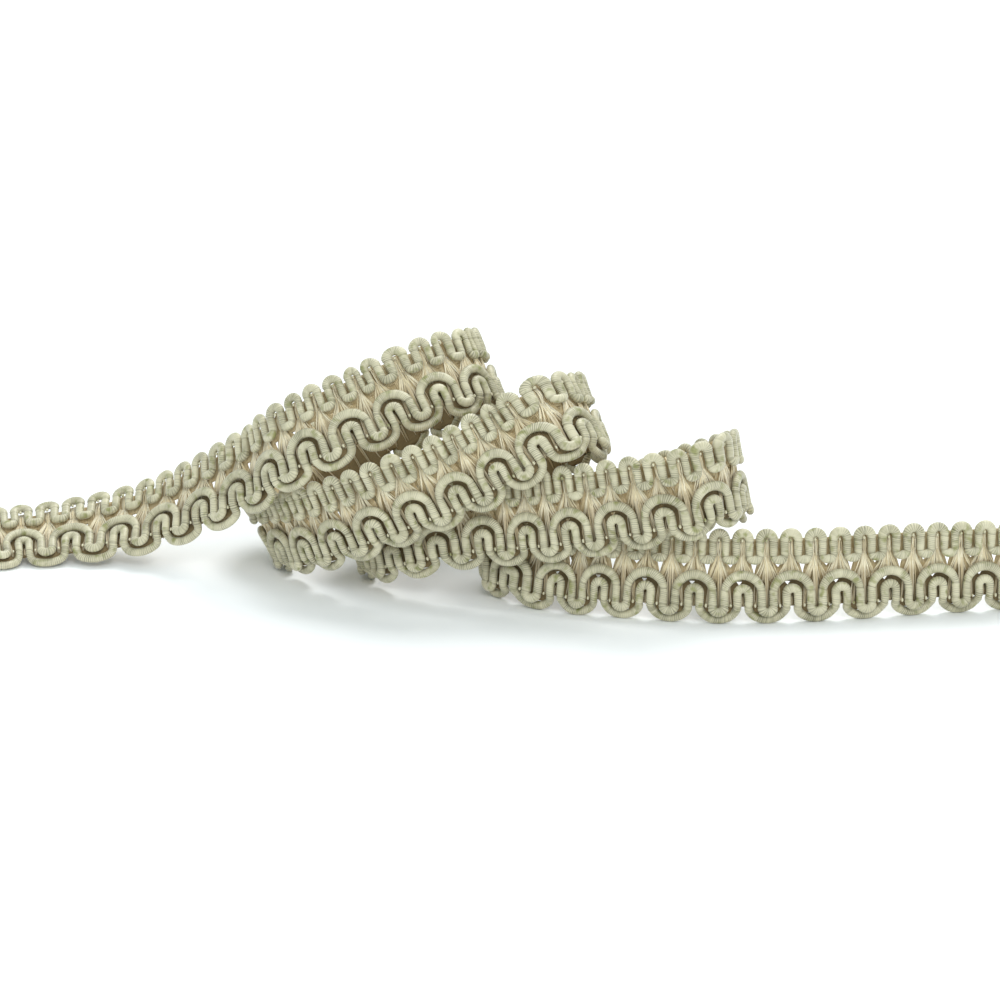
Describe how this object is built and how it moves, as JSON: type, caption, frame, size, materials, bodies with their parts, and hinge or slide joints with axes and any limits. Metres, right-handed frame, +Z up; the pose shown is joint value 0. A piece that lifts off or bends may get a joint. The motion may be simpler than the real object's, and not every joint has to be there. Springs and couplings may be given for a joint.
{
  "type": "gimp braid trim",
  "caption": "Length of gimp braid trim lying loosely coiled on its edge: a woven ground faced with silky wrapped cords in loops, arches and scallops.",
  "frame": {"origin": "middle of the footprint's box, on the surface the trim rests on", "axes": "+X along the length of the coiled trim, towards its right end; +Y towards the back; +Z up"},
  "size_m": [0.1851, 0.0558, 0.0452],
  "materials": {
    "cord": "silky wrapped yarn, soft satin sheen",
    "ground": "matte woven threads"
  },
  "bodies": {
    "root": {"ground_web": "ground", "heading_cord": "cord", "arch_cord": "cord", "scallop_cord": "cord"}
  },
  "joints": []
}
